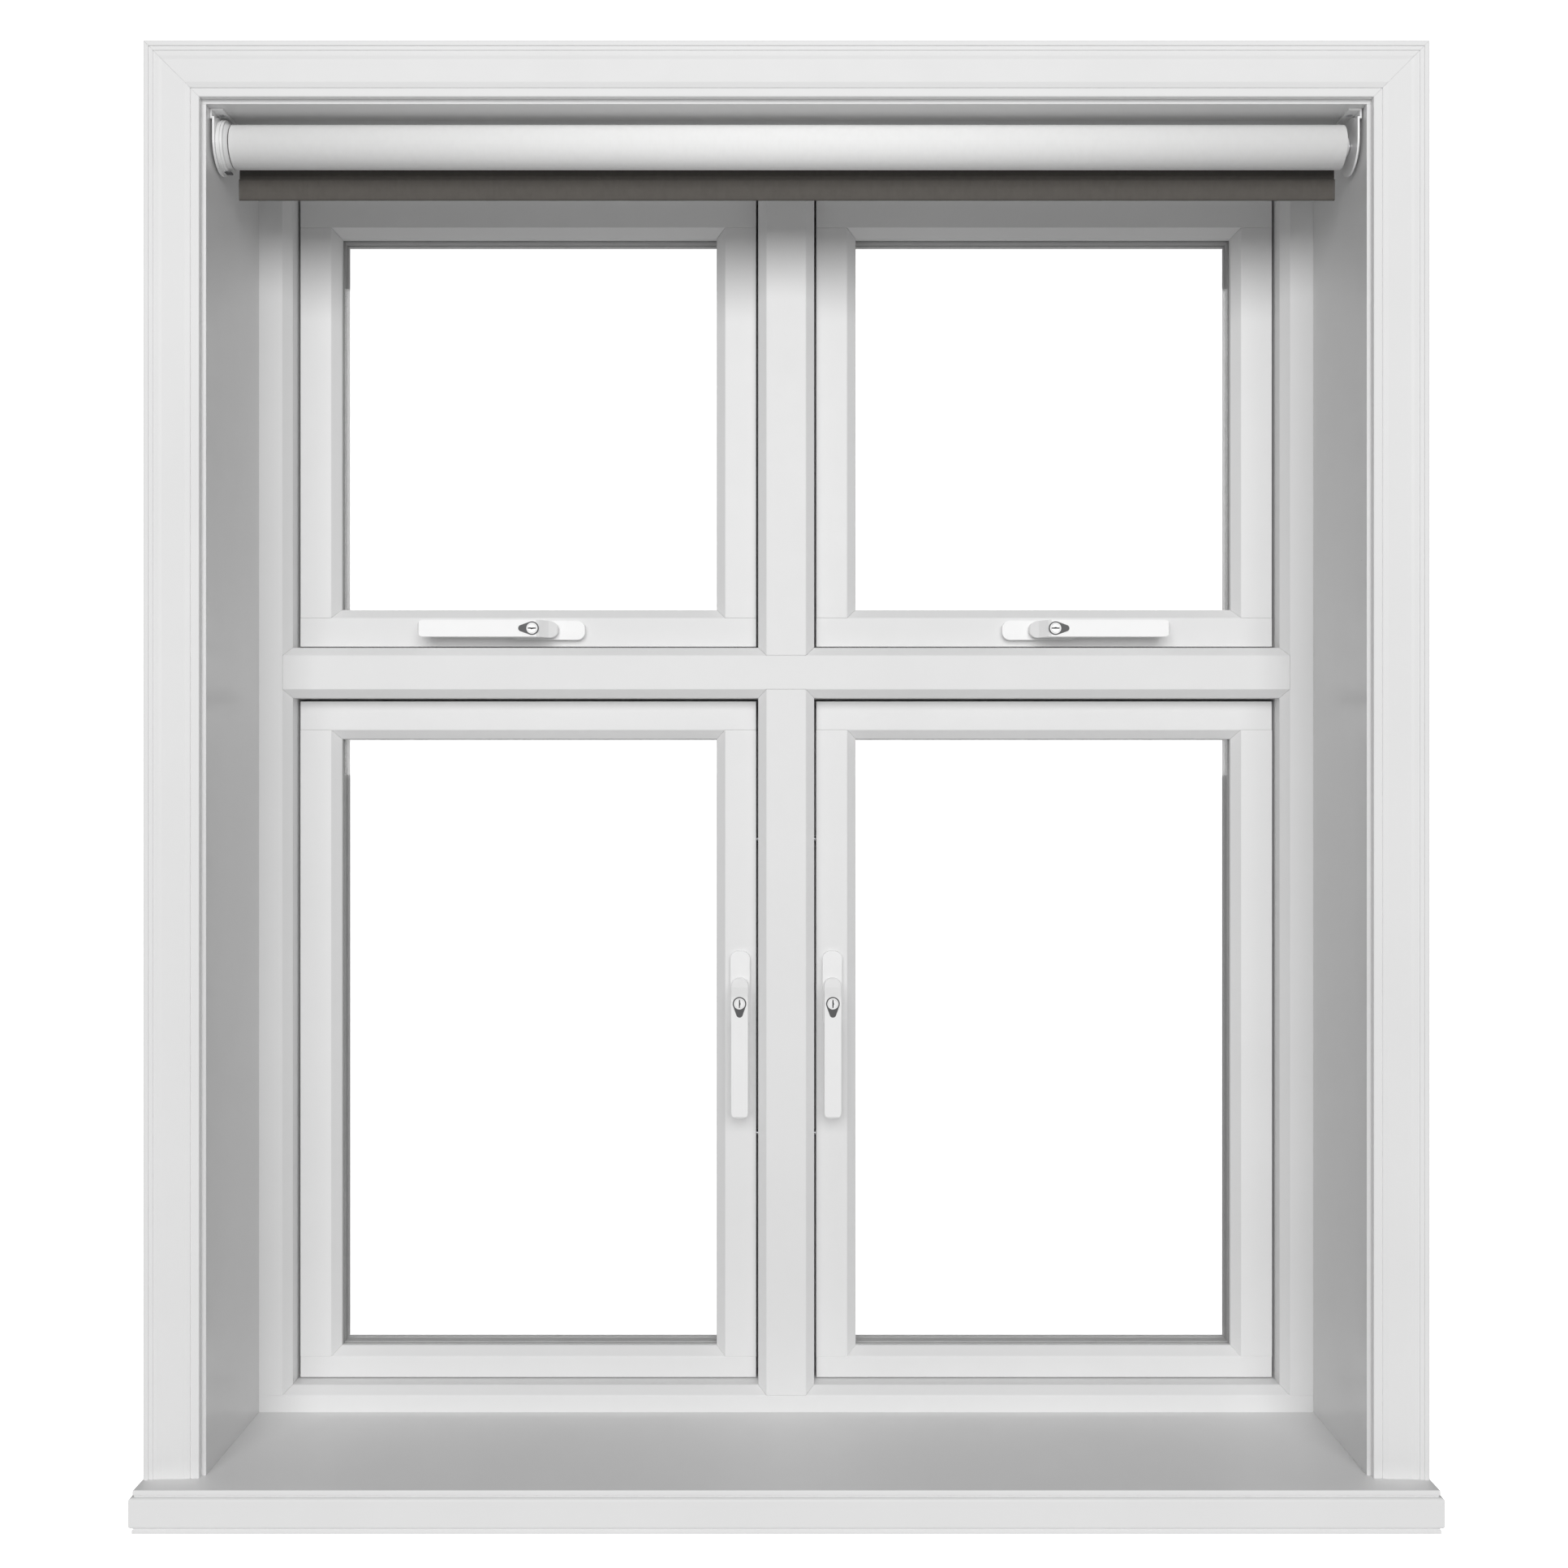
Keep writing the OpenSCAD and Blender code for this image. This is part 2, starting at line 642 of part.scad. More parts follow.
// Lever from the side: its neck slopes forward from the base plate, and its grip runs flat.
module lever_side() {
    boss = 12;
    grip_t = 8.5;
    polygon([[boss, -base_t - 0.4], [boss, -base_t - 5], [boss - 1, -base_t - 7.5], [3, -21],
        [-2, -26.5], [-5, -30], [-8, -lever_front], [-lever_reach + 2, -lever_front],
        [-lever_reach, -lever_front + 2], [-lever_reach, grip_t - lever_front - 2],
        [-lever_reach + 2, grip_t - lever_front], [-30, -21], [-19, -16.5], [-14, -base_t - 0.4]]);
}
module lever_front_view() {
    r = lever_w / 2;
    tip_r = 6.5;
    translate([12 - r, 0]) circle(r = r);
    translate([tip_r - lever_reach, -r]) square([12 - r + lever_reach - tip_r, lever_w]);
    for (z = [-1, 1]) translate([tip_r - lever_reach, z * (r - tip_r)]) circle(r = tip_r);
    translate([-lever_reach, tip_r - r]) square([2 * tip_r, lever_w - 2 * tip_r]);
}
module pinion() {
    root_r = pitch_r - tooth_h - 0.2;
    tip_r = pitch_r + tooth_h;
    along_y(rod_d[0] + 0.5, rod_d[1] - 0.5) {
        circle(r = root_r);
        for (k = [0:teeth - 1]) rotate(270 + k * 360 / teeth)
            polygon([[root_r - 1, -1.25], [tip_r, -0.7], [tip_r, 0.7], [root_r - 1, 1.25]]);
    }
}
module handle_lever(i) {
    spindle = 7;
    color("whitesmoke") place_lock(i) translate([0, 0, backset]) difference() {
        union() {
            intersection() {
                translate([0, 0, -lever_w / 2]) linear_extrude(lever_w) lever_side();
                along_y(-lever_front - 1, 0) lever_front_view();
            }
            rod_y(8, 0, 0, -base_t - 2, -0.2);
            block([-spindle / 2, spindle / 2], [-1, rod_d[1] + 2], [-spindle / 2, spindle / 2]);
            pinion();
        }
        rod_y(button_r + 0.15, -button_at, 0, -lever_front - e, -lever_front + 12);
    }
}
module lock_button(i) {
    proud = 0.6;
    back = -lever_front + 9.5;
    color("white") place_lock(i) translate([-button_at, 0, backset]) difference() {
        rod_y(button_r, 0, 0, -lever_front - proud, back);
        rod_y(plug_r + 0.08, 0, 0, -lever_front - proud - e, back - 1.5);
    }
}
module key_plug(i) {
    proud = 0.6;
    slit = [6.4, 1.1];
    back = -lever_front + 7.9;
    color("white") place_lock(i) translate([-button_at, 0, backset]) difference() {
        rod_y(plug_r, 0, 0, -lever_front - proud, back);
        block([-slit[0] / 2, slit[0] / 2], [-lever_front - 2, back - 2], [-slit[1] / 2, slit[1] / 2]);
    }
}
// Flat rod behind the faceplate, with a rack for the pinion and two mushroom cams.
module espag_rod(i) {
    rod_end = faceplate_l / 2 - 24;
    back = plate_t + 0.3;
    root_s = rod_s - tooth_h - 0.2;
    color("silver") place_lock(i) {
        block([-rod_end, rod_end], rod_d, [back, root_s]);
        translate([0, rod_d[1], 0]) rotate([90, 0, 0]) linear_extrude(rod_d[1] - rod_d[0])
            for (k = [-2:4]) translate([(k + 0.5) * tooth_pitch, 0]) polygon([[-1.25, root_s - 0.5],
                [-0.7, rod_s + tooth_h], [0.7, rod_s + tooth_h], [1.25, root_s - 0.5]]);
        for (u = cam_at) translate([u, rod_mid, -cam_out]) {
            cylinder(r = cam_stem_r, h = cam_out + root_s);
            cylinder(r = cam_head_r, h = 2);
        }
    }
}

frame_head();
frame_cill();
sub_cill();
frame_jambs();
transom();
mullions();
lining_head();
lining_sides();
architrave_head();
architrave_legs();
window_board();
weather_seals();
frame_hinge_leaves();
lock_keeps();
blind_brackets();
blind_drive_housing();
blind_roller_tube();
blind_fabric_roll();
blind_fabric();
blind_hem_bar();
for (i = [0:3]) {
    rails(i);
    stiles(i);
    glazing_unit(i);
    glazing_beads(i);
    sash_hardware(i);
    handle_base(i);
    handle_lever(i);
    lock_button(i);
    key_plug(i);
    espag_rod(i);
}
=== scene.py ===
"""Looks of a white timber casement window: paints, metals, glass, fabric and fine pieces."""
import math
import random

import bmesh
import bpy
from mathutils import Matrix, Vector


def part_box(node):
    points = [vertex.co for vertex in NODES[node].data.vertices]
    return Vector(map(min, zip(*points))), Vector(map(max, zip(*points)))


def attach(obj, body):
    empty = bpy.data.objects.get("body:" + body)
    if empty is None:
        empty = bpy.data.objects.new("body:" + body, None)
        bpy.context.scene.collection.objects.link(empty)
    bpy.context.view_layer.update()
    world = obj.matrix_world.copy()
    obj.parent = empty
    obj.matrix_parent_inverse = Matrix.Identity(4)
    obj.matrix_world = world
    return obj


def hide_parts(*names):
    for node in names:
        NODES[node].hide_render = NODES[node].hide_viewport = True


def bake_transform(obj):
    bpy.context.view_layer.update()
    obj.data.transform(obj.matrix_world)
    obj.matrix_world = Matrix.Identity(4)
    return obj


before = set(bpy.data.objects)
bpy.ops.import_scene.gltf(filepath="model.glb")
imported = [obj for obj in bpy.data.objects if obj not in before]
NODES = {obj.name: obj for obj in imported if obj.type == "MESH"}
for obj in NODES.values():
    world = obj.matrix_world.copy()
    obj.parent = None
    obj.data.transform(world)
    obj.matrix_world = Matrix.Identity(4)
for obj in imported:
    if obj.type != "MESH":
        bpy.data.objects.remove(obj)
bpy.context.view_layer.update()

MM = 0.001
SASHES = ("upper_left", "upper_right", "lower_left", "lower_right")
random.seed(7)


# ---------------------------------------------------------------- materials

def new_material(name):
    mat = bpy.data.materials.new(name)
    mat.use_nodes = True
    tree = mat.node_tree
    return mat, tree, tree.nodes["Principled BSDF"]


def node(tree, kind, inputs=(), **settings):
    made = tree.nodes.new(kind)
    for key, value in settings.items():
        setattr(made, key, value)
    for key, value in dict(inputs).items():
        made.inputs[key].default_value = value
    return made


def noise(tree, scale, detail=3.0, stretch=(1, 1, 1)):
    """Noise in the row frame, stretched along an axis where stretch is small."""
    coord = node(tree, "ShaderNodeTexCoord")
    mapping = node(tree, "ShaderNodeMapping", {"Scale": stretch})
    made = node(tree, "ShaderNodeTexNoise", {"Scale": scale, "Detail": detail})
    tree.links.new(coord.outputs["Object"], mapping.inputs["Vector"])
    tree.links.new(mapping.outputs["Vector"], made.inputs["Vector"])
    return made.outputs["Fac"]


def ramp(tree, factor, low, high, start=0.3, end=0.7):
    """A colour between low and high, as factor goes from start to end."""
    made = node(tree, "ShaderNodeValToRGB")
    first, last = made.color_ramp.elements
    first.position, first.color = start, (*low, 1)
    last.position, last.color = end, (*high, 1)
    tree.links.new(factor, made.inputs["Fac"])
    return made.outputs["Color"]


def span(tree, factor, low, high):
    """factor from 0 to 1, mapped to the range from low to high."""
    made = node(tree, "ShaderNodeMapRange", {"To Min": low, "To Max": high})
    tree.links.new(factor, made.inputs["Value"])
    return made.outputs["Result"]


def bump(tree, shader, height, distance, strength, below=None):
    made = node(tree, "ShaderNodeBump", {"Distance": distance, "Strength": strength})
    tree.links.new(height, made.inputs["Height"])
    if below:
        tree.links.new(below, made.inputs["Normal"])
    tree.links.new(made.outputs["Normal"], shader.inputs["Normal"])
    return made.outputs["Normal"]


def painted(name, colour, rough, along, coat=0.0):
    """Sprayed satin paint on timber: fine orange peel, faint grain along one axis, uneven sheen."""
    mat, tree, shader = new_material(name)
    stretch = [1.0, 1.0, 1.0]
    stretch[along] = 0.04
    tone = noise(tree, 6.0, 4.0)
    light = [min(1.0, c * 1.012) for c in colour]
    dark = [c * 0.985 for c in colour]
    tree.links.new(ramp(tree, tone, dark, light), shader.inputs["Base Color"])
    tree.links.new(span(tree, noise(tree, 35.0), rough - 0.05, rough + 0.06), shader.inputs["Roughness"])
    grain = bump(tree, shader, noise(tree, 420.0, 3.0, stretch), 0.00006, 0.5)
    bump(tree, shader, noise(tree, 900.0, 2.0), 0.00003, 0.35, grain)
    shader.inputs["Specular IOR Level"].default_value = 0.4
    shader.inputs["Coat Weight"].default_value = coat
    shader.inputs["Coat Roughness"].default_value = 0.2
    return mat


def enamel(name, colour, rough):
    """Powder coat: a long soft ripple under a clear coat."""
    mat, tree, shader = new_material(name)
    tone = noise(tree, 25.0)
    tree.links.new(ramp(tree, tone, [c * 0.985 for c in colour], colour), shader.inputs["Base Color"])
    tree.links.new(span(tree, noise(tree, 120.0), rough - 0.03, rough + 0.06), shader.inputs["Roughness"])
    bump(tree, shader, noise(tree, 700.0, 2.0), 0.00002, 0.3)
    shader.inputs["Coat Weight"].default_value = 0.35
    shader.inputs["Coat Roughness"].default_value = 0.08
    return mat


def metal(name, colour, rough, along=None):
    """Plated or drawn metal, with fine lines along one axis and a mottled finish."""
    mat, tree, shader = new_material(name)
    stretch = [1.0, 1.0, 1.0]
    if along is not None:
        stretch[along] = 0.03
    lines = noise(tree, 900.0, 3.0, stretch)
    tone = noise(tree, 60.0, 5.0)
    tree.links.new(ramp(tree, tone, [c * 0.88 for c in colour], colour), shader.inputs["Base Color"])
    tree.links.new(span(tree, lines, rough - 0.08, rough + 0.12), shader.inputs["Roughness"])
    bump(tree, shader, lines, 0.00002, 0.4)
    shader.inputs["Metallic"].default_value = 1.0
    return mat


def moulded(name, colour, rough):
    """Moulded plastic or rubber with a fine spark-eroded texture."""
    mat, tree, shader = new_material(name)
    tone = noise(tree, 40.0, 3.0)
    tree.links.new(ramp(tree, tone, [c * 0.93 for c in colour], colour), shader.inputs["Base Color"])
    tree.links.new(span(tree, noise(tree, 300.0), rough - 0.05, rough + 0.08), shader.inputs["Roughness"])
    bump(tree, shader, noise(tree, 2500.0, 2.0), 0.00003, 0.4)
    return mat


def clear_glass(name):
    """Float glass: nearly all light goes straight through, and each face mirrors more at a slant."""
    mat, tree, shader = new_material(name)
    tree.nodes.remove(shader)
    through = node(tree, "ShaderNodeBsdfTransparent", {"Color": (1, 1, 1, 1)})
    mirror = node(tree, "ShaderNodeBsdfGlossy", {"Roughness": 0.02})
    slant = node(tree, "ShaderNodeLayerWeight", {"Blend": 0.5})
    steep = node(tree, "ShaderNodeMath", operation="POWER")
    tree.links.new(slant.outputs["Facing"], steep.inputs[0])
    steep.inputs[1].default_value = 5.0
    share = span(tree, steep.outputs["Value"], 0.04, 1.0)
    mix = node(tree, "ShaderNodeMixShader")
    tree.links.new(share, mix.inputs["Fac"])
    tree.links.new(through.outputs["BSDF"], mix.inputs[1])
    tree.links.new(mirror.outputs["BSDF"], mix.inputs[2])
    tree.links.new(mix.outputs["Shader"], tree.nodes["Material Output"].inputs["Surface"])
    return mat


def woven(name, colour, thread, depth, contrast):
    """Plain weave: two crossed sets of threads, with uneven yarn and a little sheen."""
    mat, tree, shader = new_material(name)
    coord = node(tree, "ShaderNodeTexCoord")
    heights = []
    for direction in ("X", "Z"):
        wave = node(tree, "ShaderNodeTexWave",
                    {"Scale": math.pi / 10 / thread, "Distortion": 0.4, "Detail": 1.0},
                    bands_direction=direction)
        tree.links.new(coord.outputs["Object"], wave.inputs["Vector"])
        heights.append(wave.outputs["Fac"])
    weave = node(tree, "ShaderNodeMath", operation="MULTIPLY")
    tree.links.new(heights[0], weave.inputs[0])
    tree.links.new(heights[1], weave.inputs[1])
    slub = noise(tree, 180.0, 4.0, (1, 1, 0.6))
    both = node(tree, "ShaderNodeMath", operation="ADD")
    tree.links.new(weave.outputs["Value"], both.inputs[0])
    tree.links.new(slub, both.inputs[1])
    tree.links.new(ramp(tree, both.outputs["Value"], [c * (1 - contrast) for c in colour],
                        [c * (1 + contrast / 2) for c in colour], 0.35, 1.2), shader.inputs["Base Color"])
    tree.links.new(span(tree, slub, 0.82, 0.96), shader.inputs["Roughness"])
    bump(tree, shader, both.outputs["Value"], depth, 0.7)
    shader.inputs["Sheen Weight"].default_value = 0.15
    shader.inputs["Sheen Roughness"].default_value = 0.5
    return mat


PAINT_WHITE = (0.84, 0.84, 0.84)
PAINT = {axis: painted(f"paint_grain_{axis}", PAINT_WHITE, 0.42, number) for number, axis in enumerate("xyz")}
# Lining paint is greyer than the frame's white: real paint, darkened further as painted shade on the reveal
# and head linings.
LINING_PAINTED_SHADE = {axis: painted(f"lining_paint_with_painted_shade_{axis}", (0.74, 0.74, 0.74), 0.30, number, 0.25)
          for number, axis in enumerate("xyz")}
HANDLE = enamel("handle_powder_coat", (0.93, 0.93, 0.93), 0.4)
LOCK = enamel("lock_white", (0.97, 0.97, 0.97), 0.3)
BEZEL = moulded("bezel_charcoal", (0.085, 0.085, 0.088), 0.45)
# Near-black keyway inlay: painted shade for the inside of the slit.
KEYWAY_PAINTED_SHADE = moulded("keyway_painted_shade", (0.012, 0.012, 0.012), 0.8)
STEEL = metal("zinc_plate", (0.66, 0.67, 0.69), 0.34)
BRIGHT = metal("screw_zinc", (0.74, 0.74, 0.76), 0.28)
SPACER = moulded("spacer_grey", (0.55, 0.55, 0.55), 0.4)
SEALANT = moulded("edge_sealant", (0.02, 0.02, 0.02), 0.6)
RUBBER = moulded("seal_rubber", (0.03, 0.03, 0.03), 0.7)
GLASS = clear_glass("float_glass")
BRACKET = enamel("bracket_coat", (0.88, 0.88, 0.88), 0.3)
PLASTIC = moulded("blind_plastic", (0.84, 0.84, 0.84), 0.35)
CAP = moulded("hem_cap_brown", (0.09, 0.083, 0.075), 0.5)
TUBE = metal("tube_aluminium", (0.80, 0.80, 0.82), 0.3, 0)
FACE = woven("fabric_face", (0.106, 0.097, 0.087), 0.0009, 0.00012, 0.18)
BACKING = woven("fabric_backing", (0.97, 0.97, 0.965), 0.0009, 0.00002, 0.04)


# ---------------------------------------------------------------- CAD nodes

def dress(name, mat, bevel=None):
    """The material and, on what has worn or sanded edges, a small round on every sharp edge."""
    obj = NODES[name]
    obj.data.materials.clear()
    obj.data.materials.append(mat)
    if bevel:
        weld = obj.modifiers.new("weld", "WELD")
        weld.merge_threshold = 0.00001
        flat = obj.modifiers.new("flat", "DECIMATE")
        flat.decimate_type = "DISSOLVE"
        flat.angle_limit = math.radians(0.5)
        rounded = obj.modifiers.new("bevel", "BEVEL")
        rounded.width = bevel
        rounded.segments = 3
        rounded.limit_method = "ANGLE"
        rounded.angle_limit = math.radians(28)
        rounded.use_clamp_overlap = True
        shading = obj.modifiers.new("shading", "WEIGHTED_NORMAL")
        shading.keep_sharp = True


TIMBER_EDGE = 0.7 * MM
for name, axis in {"frame_head": "x", "frame_cill": "x", "sub_cill": "x", "frame_jambs": "z",
                   "transom": "x", "mullions": "z", "architrave_head": "x", "architrave_legs": "z",
                   "window_board": "x"}.items():
    dress(name, PAINT[axis], TIMBER_EDGE if "architrave" not in name else 0.35 * MM)
dress("lining_head", LINING_PAINTED_SHADE["x"], 0.3 * MM)
dress("lining_sides", LINING_PAINTED_SHADE["z"], 0.3 * MM)
dress("weather_seals", RUBBER)
dress("frame_hinge_leaves", STEEL, 0.25 * MM)
dress("lock_keeps", STEEL, 0.15 * MM)
dress("blind_brackets", BRACKET, 0.3 * MM)
dress("blind_drive_housing", PLASTIC, 0.5 * MM)
dress("blind_roller_tube", TUBE, 0.3 * MM)
dress("blind_hem_bar", FACE, 0.3 * MM)
for sash in SASHES:
    dress(f"{sash}_rails", PAINT["x"], TIMBER_EDGE)
    dress(f"{sash}_stiles", PAINT["z"], TIMBER_EDGE)
    dress(f"{sash}_glazing_beads", PAINT["z"], 0.4 * MM)
    dress(f"{sash}_sash_hardware", STEEL, 0.2 * MM)
    dress(f"{sash}_handle_base", HANDLE, 1.2 * MM)
    dress(f"{sash}_handle_lever", HANDLE, 1.4 * MM)
    dress(f"{sash}_lock_button", LOCK, 0.3 * MM)
    dress(f"{sash}_key_plug", LOCK, 0.1 * MM)
    dress(f"{sash}_espag_rod", STEEL, 0.2 * MM)


# ---------------------------------------------------------------- mesh helpers

def piece(name, bm, mats, body, bevel=None, smooth=False):
    """A finished piece from a bmesh: its materials, its edge rounding, and the body that it rides on."""
    mesh = bpy.data.meshes.new(name)
    bmesh.ops.recalc_face_normals(bm, faces=bm.faces)
    bm.to_mesh(mesh)
    bm.free()
    obj = bpy.data.objects.new(name, mesh)
    bpy.context.scene.collection.objects.link(obj)
    for mat in mats if isinstance(mats, (list, tuple)) else [mats]:
        mesh.materials.append(mat)
    if smooth:
        for face in mesh.polygons:
            face.use_smooth = True
    if bevel:
        rounded = obj.modifiers.new("bevel", "BEVEL")
        rounded.width = bevel
        rounded.segments = 2
        rounded.limit_method = "ANGLE"
        rounded.angle_limit = math.radians(30)
    if body:
        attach(obj, body)
    return obj


def add_box(bm, lo, hi):
    made = bmesh.ops.create_cube(bm, size=1.0)["verts"]
    for vert in made:
        for axis in range(3):
            vert.co[axis] = lo[axis] if vert.co[axis] < 0 else hi[axis]
    return made


def add_ring(bm, outer, inner, y0, y1):
    """A rectangular ring between two (x0, z0, x1, z1) outlines, from y0 to y1."""
    def corners(o, y):
        return [bm.verts.new((x, y, z)) for x, z in ((o[0], o[1]), (o[2], o[1]), (o[2], o[3]), (o[0], o[3]))]
    loops = [corners(outer, y0), corners(inner, y0), corners(inner, y1), corners(outer, y1)]
    for k in range(4):
        a, b = loops[k], loops[(k + 1) % 4]
        for i in range(4):
            j = (i + 1) % 4
            bm.faces.new((a[i], a[j], b[j], b[i]))


def add_prism(bm, outline, place, depth):
    """outline is a list of (u, v). place turns (u, v, depth) into a point."""
    low = [bm.verts.new(place(u, v, 0.0)) for u, v in outline]
    high = [bm.verts.new(place(u, v, depth)) for u, v in outline]
    count = len(outline)
    for i in range(count):
        j = (i + 1) % count
        bm.faces.new((low[i], low[j], high[j], high[i]))
    bm.faces.new(low)
    bm.faces.new(high)


def add_lathe(bm, profile, origin, along, steps):
    """profile is a list of (radius, height). It turns about the unit axis along, from origin."""
    turn = Vector((0, 0, 1)).rotation_difference(Vector(along)).to_matrix()
    rings = []
    for radius, height in profile:
        if radius < 1e-7:
            rings.append([bm.verts.new(Vector(origin) + turn @ Vector((0, 0, height)))])
            continue
        rings.append([bm.verts.new(Vector(origin)
                                   + turn @ Vector((radius * math.cos(a), radius * math.sin(a), height)))
                      for a in (2 * math.pi * k / steps for k in range(steps))])
    for a, b in zip(rings, rings[1:]):
        for k in range(steps):
            n = (k + 1) % steps
            corner = [a[k % len(a)], a[n % len(a)], b[n % len(b)], b[k % len(b)]]
            unique = [v for i, v in enumerate(corner) if v not in corner[:i]]
            if len(unique) > 2:
                bm.faces.new(unique)


def add_screw(bm, at, out, radius, turn):
    """A countersunk cross-head screw: its domed head, and the recess cut as a cross of four lands."""
    out = Vector(out)
    base = Vector(at)
    dome = [(radius, -0.0006), (radius, 0.0), (radius * 0.92, 0.00012), (radius * 0.7, 0.00022)]
    add_lathe(bm, dome + [(radius * 0.62, 0.0002), (radius * 0.5, -0.0007), (0, -0.0009)], base, out, 20)
    frame_turn = Vector((0, 0, 1)).rotation_difference(out).to_matrix() @ Matrix.Rotation(turn, 3, "Z")
    for k in range(4):
        wing = Matrix.Rotation(math.pi / 4 + k * math.pi / 2, 3, "Z")
        outline = [(radius * 0.12, -radius * 0.2), (radius * 0.6, -radius * 0.2),
                   (radius * 0.6, radius * 0.2), (radius * 0.12, radius * 0.2)]
        add_prism(bm, outline, lambda u, v, d: base + frame_turn @ (wing @ Vector((u, v, d - 0.0007))),
                  0.00085)


def islands(name):
    """The box of each separate solid of a CAD node, as (lowest corner, highest corner)."""
    mesh = NODES[name].data
    key = [tuple(round(c, 6) for c in v.co) for v in mesh.vertices]
    parent = {}

    def root(k):
        while parent.setdefault(k, k) != k:
            parent[k] = parent[parent[k]]
            k = parent[k]
        return k
    for edge in mesh.edges:
        a, b = (root(key[i]) for i in edge.vertices)
        parent[a] = b
    groups = {}
    for k in key:
        groups.setdefault(root(k), []).append(k)
    boxes = [(Vector(map(min, zip(*pts))), Vector(map(max, zip(*pts)))) for pts in groups.values()]
    return sorted(boxes, key=lambda b: tuple(b[0]))


# ---------------------------------------------------------------- glazing

PANE = 4.0 * MM
SIGHT = 9.0 * MM      # the spacer covers this much from the pane's edge, to just past the sash's sight line
SEAL = 3.0 * MM       # black sealant outside the spacer


def inset(o, by):
    return (o[0] + by, o[1] + by, o[2] - by, o[3] - by)


def glazing(sash):
    name = f"{sash}_glazing_unit"
    lo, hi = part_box(name)
    body = f"{sash}_sash"
    outline = (lo.x, lo.z, hi.x, hi.z)
    made = []
    for label, y0 in (("inner", lo.y), ("outer", hi.y - PANE)):
        bm = bmesh.new()
        add_box(bm, (lo.x, y0, lo.z), (hi.x, y0 + PANE, hi.z))
        pane = piece(f"{sash}_{label}_pane", bm, GLASS, body, 0.4 * MM)
        made.append(pane)
    y0, y1 = lo.y + PANE, hi.y - PANE
    bm = bmesh.new()
    steps = ((SEAL, SIGHT - 0.8 * MM, 0.0), (SEAL + 1.2 * MM, SIGHT, 1.0 * MM))
    for outer, inner, back in steps:
        add_ring(bm, inset(outline, outer), inset(outline, inner), y0 + back, y1 - back)
    made.append(piece(f"{sash}_spacer_bar", bm, SPACER, body, 0.2 * MM))
    bm = bmesh.new()
    add_ring(bm, outline, inset(outline, SEAL), y0, y1)
    made.append(piece(f"{sash}_edge_seal", bm, SEALANT, body))
    for obj in made:
        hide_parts(name)


for sash in SASHES:
    glazing(sash)


# ---------------------------------------------------------------- handle details

def toward_tip(sash):
    """Unit vector from a handle's spindle towards its lever's end, with the button on the way."""
    lo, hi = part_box(f"{sash}_handle_lever")
    blo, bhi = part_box(f"{sash}_handle_base")
    step = (lo + hi) / 2 - (blo + bhi) / 2
    return Vector((math.copysign(1, step.x), 0, 0)) if abs(step.x) > abs(step.z) else Vector((0, 0, -1))


def centre(name):
    lo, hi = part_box(name)
    return (lo + hi) / 2


def bezel(sash):
    """Charcoal teardrop round the lock button: a ring that runs out to a blunt point."""
    body = f"{sash}_handle"
    mid = centre(f"{sash}_lock_button")
    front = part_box(f"{sash}_handle_lever")[0].y
    tip = toward_tip(sash)
    side = Vector((-tip.z, 0, tip.x))
    ring_r, hole_r, nose_r, nose_at = 6.8 * MM, 5.65 * MM, 3.3 * MM, 10.4 * MM
    lean = math.acos((ring_r - nose_r) / nose_at)
    arc = 40
    outer = [(ring_r * math.cos(a), ring_r * math.sin(a))
             for a in (lean + k * (2 * math.pi - 2 * lean) / arc for k in range(arc + 1))]
    outer += [(nose_at + nose_r * math.cos(a), nose_r * math.sin(a))
              for a in (-lean + k * 2 * lean / 12 for k in range(1, 12))]
    count = len(outer)
    hole = [(hole_r * math.cos(a), hole_r * math.sin(a)) for a in (math.atan2(v, u) for u, v in outer)]
    bm = bmesh.new()
    loops = []
    for outline, y in ((outer, front + 0.3 * MM), (outer, front - 0.25 * MM), (hole, front - 0.25 * MM),
                       (hole, front + 0.3 * MM)):
        loops.append([bm.verts.new(Vector((mid.x, y, mid.z)) + tip * u + side * v) for u, v in outline])
    for k in range(4):
        a, b = loops[k], loops[(k + 1) % 4]
        for i in range(count):
            j = (i + 1) % count
            bm.faces.new((a[i], a[j], b[j], b[i]))
    piece(f"{sash}_teardrop_bezel", bm, BEZEL, body, 0.12 * MM)


def keyway(sash):
    """The plug's keyway: a thin near-black inlay that paints the shade of a narrow slit, with the kink of a
    dimple key's profile.
    """
    mid = centre(f"{sash}_key_plug")
    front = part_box(f"{sash}_key_plug")[0].y
    tip = toward_tip(sash)
    side = Vector((-tip.z, 0, tip.x))
    half, width = 4.0 * MM, 0.5 * MM
    bends = ((-1.0, 0.0), (-0.35, 0.05), (-0.12, 0.5), (0.18, 0.5), (0.4, -0.1), (1.0, 0.0))
    upper = [(u * half, v * MM + width) for u, v in bends]
    lower_edge = [(u * half, v * MM - width) for u, v in reversed(bends)]
    bm = bmesh.new()
    add_prism(bm, upper + lower_edge,
              lambda u, v, d: Vector((mid.x, front - 0.03 * MM + d, mid.z)) + tip * u + side * v, 0.4 * MM)
    piece(f"{sash}_keyway", bm, KEYWAY_PAINTED_SHADE, f"{sash}_key")


for sash in SASHES:
    bezel(sash)
    keyway(sash)


# ---------------------------------------------------------------- screws

HINGE_SCREW_R = 3.4 * MM
FACEPLATE_SCREW_R = 3.2 * MM
BRACKET_SCREW_R = 3.0 * MM
SCREW_TURN = 1.5             # the most that a screw's cross is turned, in radians


